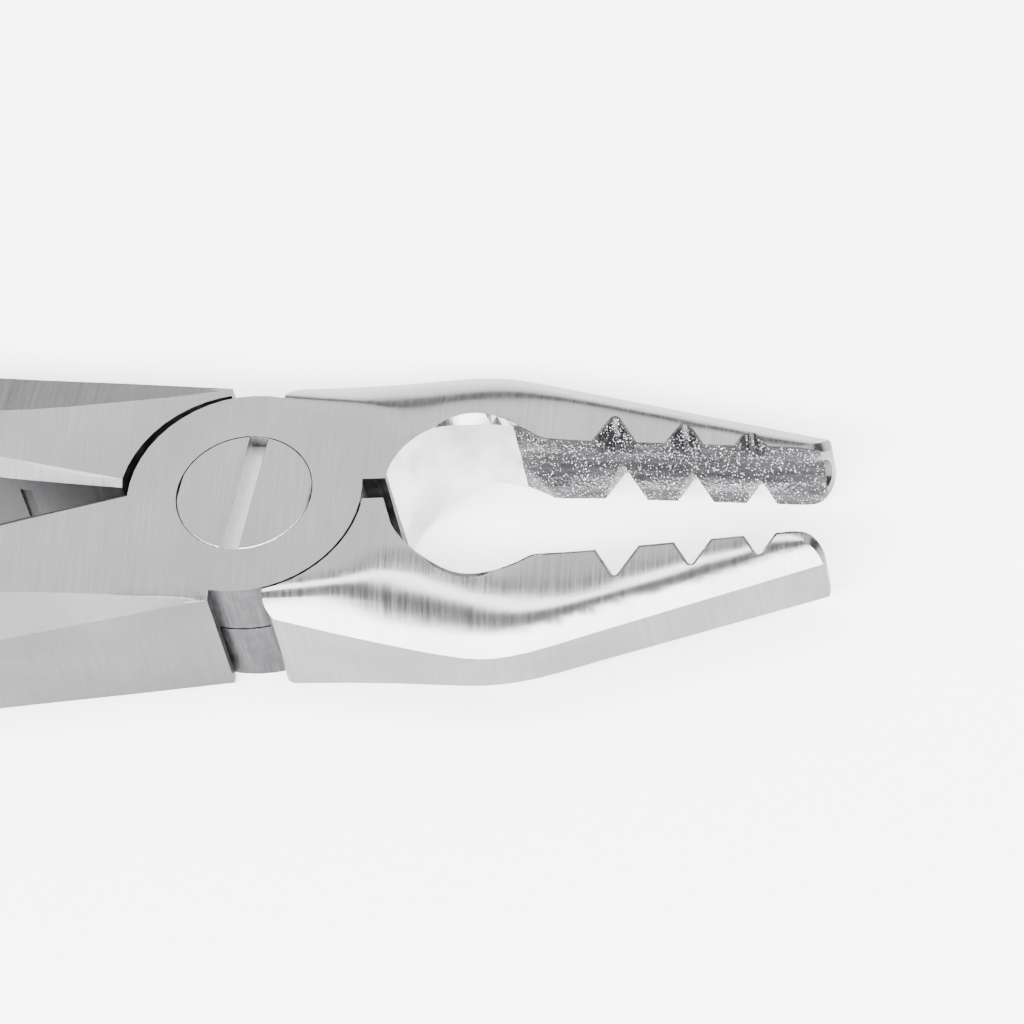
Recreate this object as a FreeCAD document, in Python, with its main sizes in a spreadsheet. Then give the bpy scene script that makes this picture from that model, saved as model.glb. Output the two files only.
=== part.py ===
import FreeCAD, Part

import math
import os

import Sketcher
from FreeCAD import Placement, Rotation, Vector

# Dental extraction forceps with a screwed lap joint and notched beaks plated with diamond grit.
# Frame: origin on the joint's axis in the lower flat of the joint, +Z up along the axis,
# +X to the beak tips. Millimetres. The forceps is drawn a little open, as it lies in the hand.
# Both halves are drawn the same way, beak at +Y and lap on top, and the second one is turned over.

SIZES = [
    ("joint_height", 9.6, "from the lower to the upper flat of the joint"),
    ("upper_lap", 4.25, "thickness of the upper lap disc"),
    ("lower_lap", 5.2, "thickness of the lower lap disc"),
    ("lap_radius", 7.83, "radius of both lap discs"),
    ("running_gap", 0.15, "gap between a lap disc and the beak that wraps round it"),
    ("handle_relief", 0.45, "how much wider that gap grows along the handle's shoulder"),
    ("handle_shoulder", 1.6, "from the axis to the end face of a handle's shoulder"),
    ("jaw_shoulder", 1.95, "from the axis to the end face of a jaw's shoulder"),
    ("shoulder_round", 1.6, "radius of the upright corner of a jaw's shoulder"),
    ("head_radius", 4.5, "screw head"),
    ("head_height", 1.8, "screw head"),
    ("shank_radius", 2.6, "screw shank"),
    ("screw_clearance", 0.05, "between the screw and the half that turns round it"),
    ("slot_width", 1.25, "screwdriver slot"),
    ("slot_depth", 1.1, "screwdriver slot"),
    ("slot_angle", 82.5, "direction of the slot from the X axis, degrees"),
    ("crotch_gap", 0.78, "from the middle plane to the flat behind the oval"),
    ("oval_distance", 15.2, "from the axis to the middle of the round opening"),
    ("oval_radius", 5.95, "radius of the round opening"),
    ("lip_root", 4.53, "from the middle plane to the lips where the beak begins"),
    ("lip_tip", 3.1, "from the middle plane to the lips at the tip"),
    ("lip_root_distance", 19.4, "from the axis to where the beak begins"),
    ("lip_round", 1.6, "radius between the round opening and the lips"),
    ("reach", 38.0, "from the axis to the beak tips"),
    ("tip_round", 1.4, "radius of the tip on the gripping side"),
    ("tip_outer_round", 0.3, "radius of the tip on the outer side"),
    ("nose_round", 2.4, "radius of the tip's upper and lower edge"),
    ("shoulder_width_a", 8.9, "from the middle plane to the side of the first jaw's shoulder"),
    ("shoulder_width_b", 9.25, "the same of the second jaw"),
    ("bow_width_a", 11.35, "from the middle plane to the corner of the first jaw's bow"),
    ("bow_width_b", 11.75, "the same of the second jaw, which is ground a little less"),
    ("bow_distance_a", 15.3, "from the axis to the bow, the widest place of the first jaw"),
    ("bow_distance_b", 16.8, "from the axis to the bow of the second jaw"),
    ("bow_round", 11.9, "radius of the bow seen from above"),
    ("tip_width_a", 4.8, "from the middle plane to the side of the first beak at its tip"),
    ("tip_width_b", 4.95, "from the middle plane to the side of the second beak at its tip"),
    ("beak_height", 6.3, "thickness of the beaks"),
    ("bow_height", 7.4, "thickness of the jaws at the edge of the round opening"),
    ("side_shoulder", 7.8, "height of the upright side face at the shoulder"),
    ("side_bow", 3.0, "height of the upright side face at the bow"),
    ("side_fall", 1.5, "how suddenly the side face grows lower behind the shoulder, an exponent"),
    ("side_tip", 3.7, "height of the upright side face at the tip"),
    ("crease_width", 8.77, "from the middle plane to the start of the crease beside the joint"),
    ("crease_distance", 3.4, "from the axis to the start of that crease"),
    ("crease_slope", 0.573, "how fast the crease runs inwards"),
    ("shoulder_bevel", 0.44, "width of the bevel along the jaw's edge at its shoulder"),
    ("edge_bevel", 1.1, "width of that bevel beside the round opening"),
    ("beak_bevel", 1.95, "width of the bevel along the beak"),
    ("tip_bevel", 1.45, "width of the bevel at the tip"),
    ("bevel_slope", 0.8, "drop of the bevel for each millimetre of its width"),
    ("ridge_roll", 0.4, "least run of the rounding on each side of the ridge above the bevel"),
    ("rim_width", 0.45, "width of the bevel along the edge of the round opening"),
    ("rim_drop", 0.35, "how far that bevel falls"),
    ("trough_radius", 2.3, "hollow ground trough between the lips"),
    ("trough_root_lift", 1.25, "from the lips to the trough's axis at its start, into the gap"),
    ("trough_tip_lift", 1.4, "the same at the tip"),
    ("trough_start", 15.0, "from the joint's axis to where the grinding wheel enters"),
    ("coat", 0.15, "thickness of the plated grit"),
    ("coat_start", 17.2, "from the joint's axis to where the grit begins"),
    ("coat_end", 37.4, "from the joint's axis to where the grit ends, just before the tip"),
    ("notch_a_1", 23.85, "from the joint's axis to the first half's first notch"),
    ("notch_a_2", 28.5, "from the axis to the first half's second notch"),
    ("notch_a_3", 32.9, "from the axis to the first half's third notch"),
    ("notch_b_1", 24.55, "from the axis to the second half's first notch"),
    ("notch_b_2", 29.45, "from the axis to the second half's second notch"),
    ("notch_b_3", 33.8, "from the axis to the second half's third notch"),
    ("notch_depth_1", 2.15, "depth of a first notch"),
    ("notch_depth_2", 1.8, "depth of a second notch"),
    ("notch_depth_3", 1.5, "depth of a third notch"),
    ("notch_half_angle", 33.0, "half the angle between the sides of a notch, degrees"),
    ("notch_root", 0.25, "radius at the bottom of a notch"),
    ("notch_slant", 25.0, "lean of a notch away from upright, degrees"),
    ("handle_start_a", -0.4, "inner side of the first handle beside the lap, from the middle plane"),
    ("handle_start_b", 0.9, "inner side of the second handle beside the lap"),
    ("neck_distance", 17.0, "from the axis to the neck of the handle"),
    ("neck_inner_a", 1.3, "from the middle plane to the inner side of the first handle's neck"),
    ("neck_inner_b", 2.6, "from the middle plane to the inner side of the second handle's neck"),
    ("neck_outer", 10.74, "from the middle plane to the outer side of a handle's neck"),
    ("handle_shoulder_width", 8.5, "from the middle plane to the outer side of the handle's shoulder"),
    ("waist_distance", 48.0, "from the axis to the slimmest place of the handle"),
    ("waist_centre", 13.4, "from the middle plane to the middle of the waist"),
    ("waist_thickness", 6.0, "handle at its waist"),
    ("palm_distance", 92.0, "from the axis to the widest spread of the handles"),
    ("palm_centre", 21.2, "from the middle plane to the middle of the palm rest"),
    ("palm_thickness", 6.6, "handle at the palm rest"),
    ("handle_reach", 128.0, "from the axis to the handle's end"),
    ("end_centre", 19.6, "from the middle plane to the middle of the handle's end"),
    ("end_thickness", 5.6, "handle at its rounded end"),
    ("end_round", 3.6, "radius of the handle's end seen from above"),
    ("end_side_round", 6.0, "radius of the handle's end seen from its side"),
    ("shoulder_cut", 0.3, "width of the bevel along the handle's outer edge, at the shoulder"),
    ("lap_cut", 1.6, "width of that bevel beside the lap"),
    ("neck_cut", 3.4, "width of that bevel at the neck"),
    ("waist_cut", 2.5, "width of that bevel at the waist"),
    ("palm_cut", 2.8, "width of that bevel at the palm rest and the end"),
    ("shoulder_drop", 0.03, "how far that bevel falls at the shoulder"),
    ("lap_drop", 0.4, "how far it falls beside the lap"),
    ("neck_drop", 1.05, "how far it falls at the neck"),
    ("waist_drop", 2.1, "how far it falls at the waist"),
    ("palm_drop", 2.6, "how far it falls at the palm rest and the end"),
    ("shoulder_break", 0.1, "bevel along the handle's inner edge, at the shoulder"),
    ("lap_break", 0.4, "that bevel beside the lap"),
    ("grip_break", 1.0, "that bevel from the neck to the end"),
    ("groove_first", 40.0, "from the axis to the first groove of the grip"),
    ("groove_last", 118.0, "from the axis to the last groove of the grip"),
    ("groove_pitch", 3.0, "from one groove to the next"),
    ("groove_depth", 0.45, "depth of the grip's grooves"),
    ("stop_mark_distance", 15.4, "from the axis to the milled mark inside the second handle"),
    ("stop_mark_inset", 2.1, "from the second handle's upper flat to the mark"),
    ("stop_mark_width", 0.8, "width of that mark"),
    ("stop_mark_depth", 0.3, "depth of that mark"),
]

NOTCHES = 3
JAW_STATIONS = 14
STATION_CROWDING = 1.25  # stations stand closer near the joint, where the form changes faster
ROLL_STEPS = 3  # straight strips that the rounding above the bevel is made of
FAR = 20.0  # the tool that keeps a jaw's plan reaches this far past the jaw's outer side
CLEAR = 1.0  # other tools stand at least this far out of what they cut
GRAZE = 0.1  # kept between two outlines that would otherwise just touch
OVERRUN = 0.25  # the bevel of the opening's edge begins this far inside the gap
RIM_SHARE = 0.8  # that bevel begins at this share of the opening's radius behind its middle

# The height and the foot of a tool that passes right through the joint.
THROUGH = f"joint_height + {2 * CLEAR}"
FOOT = f"{-CLEAR}"

doc = FreeCAD.newDocument("extraction_forceps")
sheet = doc.addObject("Spreadsheet::Sheet", "sizes")
for row, (alias, value, note) in enumerate(SIZES, start=1):
    sheet.set(f"A{row}", note)
    sheet.set(f"B{row}", str(value))
    sheet.setAlias(f"B{row}", alias)
doc.recompute()


def size(alias):
    """One driving size, as the sheet holds it now."""
    return float(sheet.get(alias))


def bind(thing, **formulas):
    """Tie properties of a document object to formulas of the sheet's sizes."""
    for path, formula in formulas.items():
        thing.setExpression(path.replace("__", "."), formula)


def named(formula):
    """A formula of plain size names, written for the sheet."""
    words = formula.replace("(", "( ").replace(")", " )").split()
    aliases = {alias for alias, value, note in SIZES}
    return " ".join(f"sizes.{word}" if word in aliases else word for word in words)


def cylinder(name, radius, height, x="0", y="0", z="0"):
    """An upright cylinder whose sizes and place are formulas."""
    thing = doc.addObject("Part::Cylinder", name)
    bind(
        thing,
        Radius=named(radius),
        Height=named(height),
        Placement__Base__x=named(x),
        Placement__Base__y=named(y),
        Placement__Base__z=named(z),
    )
    return thing


def box(name, length, width, height, x="0", y="0", z="0"):
    """A box along the axes whose sizes and corner are formulas."""
    thing = doc.addObject("Part::Box", name)
    bind(
        thing,
        Length=named(length),
        Width=named(width),
        Height=named(height),
        Placement__Base__x=named(x),
        Placement__Base__y=named(y),
        Placement__Base__z=named(z),
    )
    return thing


def solid(name, shape):
    """A piece of free form, drawn from the sheet's sizes in code."""
    thing = doc.addObject("Part::Feature", name)
    thing.Shape = shape
    return thing


def fuse(name, *things):
    thing = doc.addObject("Part::MultiFuse", name)
    thing.Shapes = list(things)
    thing.Refine = True
    return thing


def common(name, *things):
    thing = doc.addObject("Part::MultiCommon", name)
    thing.Shapes = list(things)
    return thing


def cut(name, base, tool):
    thing = doc.addObject("Part::Cut", name)
    thing.Base = base
    thing.Tool = tool
    return thing


def section(x, corners):
    """Corners of a closed outline in the plane at x, mirrored about the joint's middle height.

    corners: (y, height above the middle) from the gripping side outwards."""
    middle = size("joint_height") / 2
    upper = [Vector(x, y, middle + rise) for y, rise in corners]
    lower = [Vector(x, y, middle - rise) for y, rise in reversed(corners)]
    return upper + lower


def skin(sections):
    """A solid through a row of outlines: a smooth rail along each corner, straight across."""
    stations = [abs(corners[0].x) for corners in sections]
    rails = []
    for row in zip(*sections):
        rail = Part.BSplineCurve()
        rail.interpolate(Points=list(row), Parameters=stations)
        rails.append(rail.toShape())
    faces = [Part.makeRuledSurface(rail, rails[index - 1]) for index, rail in enumerate(rails)]
    for corners in (sections[0], sections[-1]):
        faces.append(Part.Face(Part.makePolygon(corners + corners[:1])))
    shell = Part.Shell(faces)
    shell.sewShape()
    body = Part.Solid(shell)
    if body.Volume < 0:
        body.reverse()
    return body


def between(value, low, high):
    """How far value lies from low to high, as a share from 0 to 1."""
    return min(1.0, max(0.0, (value - low) / (high - low)))


def lip_line(x):
    """Distance of the lips from the middle plane, a straight line from root to tip."""
    slope = (size("lip_tip") - size("lip_root")) / (size("reach") - size("lip_root_distance"))
    return size("lip_root") + slope * (x - size("lip_root_distance"))


def jaw_side(x, tag):
    """Distance of the upright side face: two straight runs joined by the round bow."""
    bow = size(f"bow_distance_{tag}")
    corner = size(f"bow_width_{tag}")
    rise = (corner - size(f"shoulder_width_{tag}")) / (bow - size("jaw_shoulder"))
    fall = (corner - size(f"tip_width_{tag}")) / (size("reach") - bow)
    turn = math.atan(rise) + math.atan(fall)
    tangent = size("bow_round") * math.tan(turn / 2)
    if x <= bow - tangent:
        return corner - rise * (bow - x)
    if x >= bow + tangent:
        return corner - fall * (x - bow)
    share = (x - bow + tangent) / (2 * tangent)
    return corner - rise * tangent * (1 - share) ** 2 - fall * tangent * share**2


def side_height(x, tag):
    """Height of the upright side face: full at the shoulder, lowest at the bow."""
    bow = size(f"bow_distance_{tag}")
    if x < bow:
        share = 1 - between(x, size("jaw_shoulder"), bow)
        share **= size("side_fall")
        return size("side_bow") + (size("side_shoulder") - size("side_bow")) * share
    share = between(x, bow, size("reach"))
    return size("side_bow") + (size("side_tip") - size("side_bow")) * share


def jaw_thickness(x):
    """Thickness beside the gripping side: joint, then round opening, then beak.

    Beside the joint the blank is a little too thick, and its flats are ground level later."""
    crotch = size("oval_distance") - size("oval_radius")
    bow = between(x, crotch, size("oval_distance"))
    root = between(x, size("oval_distance"), size("lip_root_distance") + size("lip_round"))
    joint = size("joint_height") + 2 * GRAZE
    thick = joint + (size("bow_height") - joint) * bow
    return thick + (size("beak_height") - size("bow_height")) * root


def jaw_bevel(x):
    """Width of the bevel between the top and the side face."""
    full = size("lip_root_distance") + size("oval_radius")
    opening = between(x, size("oval_distance"), full)
    fading = between(x, full, size("reach"))
    start = between(x, size("jaw_shoulder"), size("oval_distance") / 2)
    narrow = size("shoulder_bevel") + (size("edge_bevel") - size("shoulder_bevel")) * start
    wide = size("beak_bevel") + (size("tip_bevel") - size("beak_bevel")) * fading
    return narrow * (1 - opening) + wide * opening


def rim_line(x):
    """Distance of the gripping side's edge seen from above: round opening, then lips."""
    radius = size("oval_radius")
    across = max(x - size("oval_distance"), -RIM_SHARE * radius)
    opening = math.sqrt(max(radius**2 - across**2, 0.0))
    return opening if across < 0 else max(opening, lip_line(x))


def rim_fall(x):
    """Fall of the bevel along the round opening: it fades in at the crotch, out at the lips."""
    begin = size("oval_distance") - RIM_SHARE * size("oval_radius")
    start = between(x, begin, begin + 2 * size("rim_width"))
    end = between(x, size("oval_distance"), size("lip_root_distance"))
    return size("rim_drop") * start * (1 - end)


def roll(start, corner, end):
    """Points of the parabola that leaves start and reaches end pointing at the same corner."""
    points = []
    for index in range(ROLL_STEPS + 1):
        share = index / ROLL_STEPS
        points.append(start * (1 - share) ** 2 + corner * 2 * share * (1 - share) + end * share**2)
    return [(point.x, point.y) for point in points]


def jaw_section(x, tag):
    """Half a jaw cut across: bevelled edge of the opening, flat, rounding, bevel, side face."""
    half = jaw_thickness(x) / 2
    side = jaw_side(x, tag)
    edge = side_height(x, tag) / 2
    least = size("ridge_roll")
    ridge = side - (half - edge) / size("bevel_slope")
    bevel = min(jaw_bevel(x), side - ridge - least)
    rim = min(rim_line(x), ridge - least - size("rim_width") - 2 * GRAZE)
    rim_end = rim + size("rim_width")
    rim_start = rim - OVERRUN
    crease = size("crease_width") - size("crease_slope") * (x - size("crease_distance"))
    crease = min(max(crease, rim_end + GRAZE), ridge - least)
    rounding = roll(
        Vector(crease, half, 0),
        Vector(ridge, half, 0),
        Vector(side - bevel, edge + bevel * size("bevel_slope"), 0),
    )
    low = half - rim_fall(x) * (rim_end - rim_start) / size("rim_width")
    return section(x, [(0.0, low), (rim_start, low), (rim_end, half)] + rounding + [(side, edge)])


def jaw_blank(tag):
    """The forged jaw before its gripping side is cut, a little longer than it will be."""
    start = size("jaw_shoulder")
    run = size("reach") + size("tip_round") - start
    shares = [(index / (JAW_STATIONS - 1)) ** STATION_CROWDING for index in range(JAW_STATIONS)]
    stations = [start + run * share for share in shares]
    return solid(f"jaw_blank_{tag}", skin([jaw_section(x, tag) for x in stations]))


def arc(centre, radius, start, end):
    """An arc about centre, angles in degrees, drawn from start to end."""
    def at(angle):
        turned = math.radians(angle)
        return Vector(centre[0] + radius * math.cos(turned), centre[1] + radius * math.sin(turned), 0)
    return Part.Arc(at(start), at((start + end) / 2), at(end)).toShape()


def chain(pieces):
    """A closed outline from arcs, with straight runs between them where their ends are apart."""
    edges = []
    for index, piece in enumerate(pieces):
        following = pieces[(index + 1) % len(pieces)]
        edges.append(piece)
        leave = piece.valueAt(piece.LastParameter)
        arrive = following.valueAt(following.FirstParameter)
        if (leave - arrive).Length > 1e-7:
            edges.append(Part.LineSegment(leave, arrive).toShape())
    return Part.Wire(edges)


def jaw_plan(tag, grow):
    """The jaw seen from above: crotch flat, round opening, lips and rounded tip.

    grow moves the gripping side back by the thickness of the grit."""
    centre = Vector(size("oval_distance"), 0, 0)
    opening = size("oval_radius") + grow
    slope = math.atan2(
        size("lip_tip") - size("lip_root"), size("reach") - size("lip_root_distance")
    )
    across = Vector(-math.sin(slope), math.cos(slope), 0)
    along = Vector(math.cos(slope), math.sin(slope), 0)
    lip = Vector(size("lip_root_distance"), size("lip_root"), 0) + across * grow
    # The rounding touches the opening from outside and the lips from inside the steel.
    turn = size("lip_round")
    offset = (lip + across * turn) - centre
    shift = offset.dot(along)
    rise = offset.dot(across)
    step = -shift + math.sqrt((opening + turn) ** 2 - rise**2)
    corner = centre + offset + along * step
    back = corner - centre
    meet = math.degrees(math.atan2(back.y, back.x))
    crotch = math.degrees(math.asin(size("crotch_gap") / opening))
    lean = math.degrees(slope)
    tip = size("tip_round")
    tip_x = size("reach") - tip
    run = (tip_x - lip.x + tip * math.sin(slope)) / math.cos(slope)
    tip_centre = lip + along * run + across * tip
    outer = size("tip_outer_round")
    shoulder = size("shoulder_round")
    corner_y = jaw_side(size("jaw_shoulder") + shoulder, tag) + GRAZE
    end_y = max(size(f"tip_width_{tag}") + GRAZE - outer, tip_centre.y)
    far = corner_y + FAR
    oval = arc(centre, opening, 180 - crotch, meet)
    lip_arc = arc(corner, turn, meet + 180, 270 + lean)
    tip_arc = arc(tip_centre, tip, -90 + lean, 0)
    end_arc = arc((size("reach") - outer, end_y), outer, 0, 90)
    shoulder_arc = arc(
        (size("jaw_shoulder") + shoulder, corner_y - shoulder), shoulder, 90, 180
    )
    far_side = Part.LineSegment(
        Vector(size("reach") - outer, far, 0), Vector(size("jaw_shoulder") + shoulder, far, 0)
    ).toShape()
    foot = Part.LineSegment(
        Vector(size("jaw_shoulder"), size("crotch_gap"), 0),
        Vector(centre.x - opening * math.cos(math.radians(crotch)), size("crotch_gap"), 0),
    ).toShape()
    return chain([oval, lip_arc, tip_arc, end_arc, far_side, shoulder_arc, foot])


def jaw_plan_solid(name, tag, grow):
    """The seen-from-above outline, as tall as the joint and a little more each way."""
    wall = Part.Face(jaw_plan(tag, grow)).extrude(Vector(0, 0, size("joint_height") + 2 * CLEAR))
    wall.translate(Vector(0, 0, -CLEAR))
    return solid(name, wall)


def jaw_side_view(name):
    """The jaw seen from its side: level with the joint's flats, its nose rounded both ways."""
    top = size("joint_height") / 2 + size("beak_height") / 2
    low = size("joint_height") / 2 - size("beak_height") / 2
    nose = size("nose_round")
    end = size("reach") + GRAZE
    back = size("jaw_shoulder") - CLEAR
    step = size("lip_root_distance")
    high = size("joint_height")
    far = size("bow_width_b") + FAR
    upper = Vector(end - nose, 0, top - nose)
    lower = Vector(end - nose, 0, low + nose)
    part_way = nose * math.sqrt(0.5)
    wire = Part.Wire(
        [
            Part.LineSegment(Vector(back, 0, 0), Vector(back, 0, high)).toShape(),
            Part.LineSegment(Vector(back, 0, high), Vector(step, 0, high)).toShape(),
            Part.LineSegment(Vector(step, 0, high), Vector(end - nose, 0, top)).toShape(),
            Part.Arc(
                Vector(end - nose, 0, top),
                upper + Vector(part_way, 0, part_way),
                Vector(end, 0, top - nose),
            ).toShape(),
            Part.LineSegment(Vector(end, 0, top - nose), Vector(end, 0, low + nose)).toShape(),
            Part.Arc(
                Vector(end, 0, low + nose),
                lower + Vector(part_way, 0, -part_way),
                Vector(end - nose, 0, low),
            ).toShape(),
            Part.LineSegment(Vector(end - nose, 0, low), Vector(step, 0, 0)).toShape(),
            Part.LineSegment(Vector(step, 0, 0), Vector(back, 0, 0)).toShape(),
        ]
    )
    view = Part.Face(wire).extrude(Vector(0, far, 0))
    view.translate(Vector(0, -CLEAR, 0))
    return solid(name, view)


def trough(name, grow):
    """The grinding wheel's path between the lips: a long cylinder that leans with the lips."""
    start = size("trough_start")
    end = size("reach") + 2 * CLEAR
    root_y = lip_line(start) - size("trough_root_lift")
    tip_y = lip_line(end) - size("trough_tip_lift")
    thing = doc.addObject("Part::Cylinder", name)
    thing.Height = math.hypot(end - start, tip_y - root_y)
    lean = math.degrees(math.atan2(tip_y - root_y, end - start))
    level = size("joint_height") / 2
    turn = Rotation(Vector(0, 0, 1), lean) * Rotation(Vector(0, 1, 0), 90)
    thing.Placement = Placement(Vector(start, root_y, level), turn)
    bind(thing, Radius=named("trough_radius") + f" + {grow}")
    return thing


def notch_profile(x, depth, grow):
    """One V with a round root, open towards the gap, its depth counted from the lip."""
    half = math.radians(size("notch_half_angle"))
    root = size("notch_root") + grow
    base = lip_line(x) - 2 * CLEAR
    centre = Vector(x, lip_line(x) + depth - size("notch_root"), 0)
    foot = root / math.cos(half) + (centre.y - base) * math.tan(half)
    left = Vector(x - foot, base, 0)
    right = Vector(x + foot, base, 0)
    touch_left = centre + Vector(-root * math.cos(half), root * math.sin(half), 0)
    touch_right = centre + Vector(root * math.cos(half), root * math.sin(half), 0)
    top = centre + Vector(0, root, 0)
    return Part.Wire(
        [
            Part.LineSegment(left, touch_left).toShape(),
            Part.Arc(touch_left, top, touch_right).toShape(),
            Part.LineSegment(touch_right, right).toShape(),
            Part.LineSegment(right, left).toShape(),
        ]
    )


def notches(name, tag, grow):
    """Three notches across both lips, each leaning so that it is square to its lip.

    A tool is drawn square to its own direction, stands out of the beak and ends in the trough."""
    slant = math.radians(size("notch_slant"))
    middle = size("joint_height") / 2
    top = middle + size("beak_height") / 2
    down = Vector(0, -math.sin(slant), -math.cos(slant))
    tools = []
    for number in range(1, NOTCHES + 1):
        x = size(f"notch_{tag}_{number}")
        depth = size(f"notch_depth_{number}") * math.cos(slant)
        out = depth + CLEAR
        run = (size("beak_height") / 2 - CLEAR / 4) / math.cos(slant) - depth * math.tan(slant)
        face = Part.Face(notch_profile(x, depth, grow))
        face.translate(Vector(0, 0, top))
        face.rotate(Vector(x, lip_line(x), top), Vector(1, 0, 0), -size("notch_slant"))
        face.translate(down * -out)
        upper = face.extrude(down * (out + run))
        lower = upper.mirror(Vector(0, 0, middle), Vector(0, 0, 1))
        tools += [upper, lower]
    return solid(name, Part.makeCompound(tools))


def handle_stations(start, neck_inner):
    """Named places along a handle: distance, inner side, outer side, then the sizes of its bevels.

    The bevels are the outer one's width and fall, and the inner one's width."""
    lap = size("lap_radius")
    shoulder = size("handle_shoulder")
    neck = size("neck_distance")
    slope = (neck_inner - start) / (neck - lap)
    spread = (size("neck_outer") - size("handle_shoulder_width")) / (neck - shoulder)

    def near(distance):
        inner = start + slope * (distance - lap)
        return distance, inner, size("handle_shoulder_width") + spread * (distance - shoulder)

    def beyond(distance, centre, thickness):
        return distance, centre - thickness / 2, centre + thickness / 2

    def bevels(place, inner_edge):
        return size(f"{place}_cut"), size(f"{place}_drop"), size(f"{inner_edge}_break")

    waist = beyond(size("waist_distance"), size("waist_centre"), size("waist_thickness"))
    palm = beyond(size("palm_distance"), size("palm_centre"), size("palm_thickness"))
    end = beyond(size("handle_reach") + GRAZE, size("end_centre"), size("end_thickness"))
    return [
        near(shoulder) + bevels("shoulder", "shoulder"),
        near(lap) + bevels("lap", "lap"),
        near(neck) + bevels("neck", "grip"),
        waist + bevels("waist", "grip"),
        palm + bevels("palm", "grip"),
        end + bevels("palm", "grip"),
    ]


def handle_section(distance, inner, outer, width, drop, inner_edge):
    """Half a handle cut across: inner bevel, flat top, wide outer bevel, outer side."""
    half = size("joint_height") / 2
    corners = [
        (-inner, half - inner_edge),
        (-inner - inner_edge, half),
        (-outer + width, half),
        (-outer, half - drop),
    ]
    return section(-distance, corners)


def handle_blank(tag, start, neck_inner):
    """The forged handle with its end rounded, seen from above and seen from its side."""
    stations = handle_stations(start, neck_inner)
    bar = solid(f"handle_bar_{tag}", skin([handle_section(*station) for station in stations]))
    above = fuse(
        f"end_from_above_{tag}",
        cylinder(
            f"end_round_{tag}",
            "end_round",
            THROUGH,
            x="end_round - handle_reach",
            y="0 - end_centre",
            z=FOOT,
        ),
        box(
            f"length_from_above_{tag}",
            "handle_reach - end_round",
            "palm_centre + palm_centre",
            THROUGH,
            x="end_round - handle_reach",
            y="0 - palm_centre - palm_thickness",
            z=FOOT,
        ),
    )
    lying = cylinder(
        f"end_side_round_{tag}",
        "end_side_round",
        "palm_centre + palm_centre",
        x="end_side_round - handle_reach",
        y="palm_centre - palm_thickness",
        z="joint_height / 2",
    )
    lying.Placement.Rotation = Rotation(Vector(1, 0, 0), 90)
    aside = fuse(
        f"end_from_the_side_{tag}",
        lying,
        box(
            f"length_from_the_side_{tag}",
            "handle_reach - end_side_round",
            "palm_centre + palm_centre",
            THROUGH,
            x="end_side_round - handle_reach",
            y="0 - palm_centre - palm_thickness",
            z=FOOT,
        ),
    )
    return common(f"handle_{tag}", bar, above, aside)


def make_half(tag, lap, start, neck_inner):
    """One half without its grit, and the grit: jaw and handle joined by a lap disc on top."""
    coat = size("coat")
    blank = common(
        f"rounded_jaw_{tag}", jaw_blank(tag), jaw_side_view(f"jaw_side_view_{tag}")
    )
    plan = jaw_plan_solid(f"jaw_plan_{tag}", tag, 0)
    deep_plan = jaw_plan_solid(f"jaw_core_plan_{tag}", tag, coat)
    jaw = common(f"jaw_outline_{tag}", blank, plan)
    jaw = cut(f"hollow_jaw_{tag}", jaw, trough(f"trough_{tag}", 0))
    jaw = cut(f"jaw_{tag}", jaw, notches(f"notches_{tag}", tag, 0))
    core = common(f"core_outline_{tag}", blank, deep_plan)
    core = cut(f"hollow_core_{tag}", core, trough(f"deep_trough_{tag}", coat))
    core = cut(f"core_{tag}", core, notches(f"deep_notches_{tag}", tag, coat))
    zone = box(
        f"coated_zone_{tag}",
        "coat_end - coat_start",
        f"bow_width_{tag} + bow_width_{tag}",
        THROUGH,
        x="coat_start",
        z=FOOT,
    )
    coated = common(f"coated_jaw_{tag}", jaw, zone)
    # Turning the finished coating over must leave the steel under it as it is: two equal cuts.
    coating = cut(f"coating_{tag}", coated, core)
    steel_jaw = cut(f"steel_jaw_{tag}", jaw, cut(f"coating_room_{tag}", coated, core))
    handle = handle_blank(tag, start, neck_inner)
    under = f"joint_height - {lap}"
    jaw_seat = cylinder(
        f"jaw_seat_{tag}", "lap_radius + running_gap", f"{under} + {CLEAR}", z=FOOT
    )
    handle_seat = cylinder(
        f"handle_seat_{tag}",
        "lap_radius + running_gap",
        f"{under} + {CLEAR}",
        x="0 - handle_relief",
        z=FOOT,
    )
    disc = cylinder(f"lap_{tag}", "lap_radius", lap, z=under)
    grooves = handle_grooves(f"grooves_{tag}", start, neck_inner)
    gripped = cut(f"grooved_handle_{tag}", handle, grooves)
    return coating, fuse(
        f"forging_{tag}",
        cut(f"seated_jaw_{tag}", steel_jaw, jaw_seat),
        cut(f"seated_handle_{tag}", gripped, handle_seat),
        disc,
    )


def handle_grooves(name, start, neck_inner):
    """V grooves across the outer side of a handle, square to its curve."""
    stations = handle_stations(start, neck_inner)
    places = [station[0] for station in stations]
    outer = Part.BSplineCurve()
    outer.interpolate(
        Points=[Vector(-station[0], -station[2], 0) for station in stations], Parameters=places
    )
    count = int((size("groove_last") - size("groove_first")) / size("groove_pitch")) + 1
    depth = size("groove_depth")
    clear = 2 * depth
    tools = []
    for index in range(count):
        distance = size("groove_first") + index * size("groove_pitch")
        point = outer.value(distance)
        along = outer.tangent(distance)[0]
        inwards = Vector(along.y, -along.x, 0)
        if inwards.y < 0:
            inwards = inwards * -1
        apex = point + inwards * depth
        left = point - inwards * clear - along * (depth + clear)
        right = point - inwards * clear + along * (depth + clear)
        wedge = Part.Face(Part.makePolygon([apex, left, right, apex]))
        wedge.translate(Vector(0, 0, -CLEAR))
        tools.append(wedge.extrude(Vector(0, 0, size("joint_height") + 2 * CLEAR)))
    return solid(name, Part.makeCompound(tools))


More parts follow.
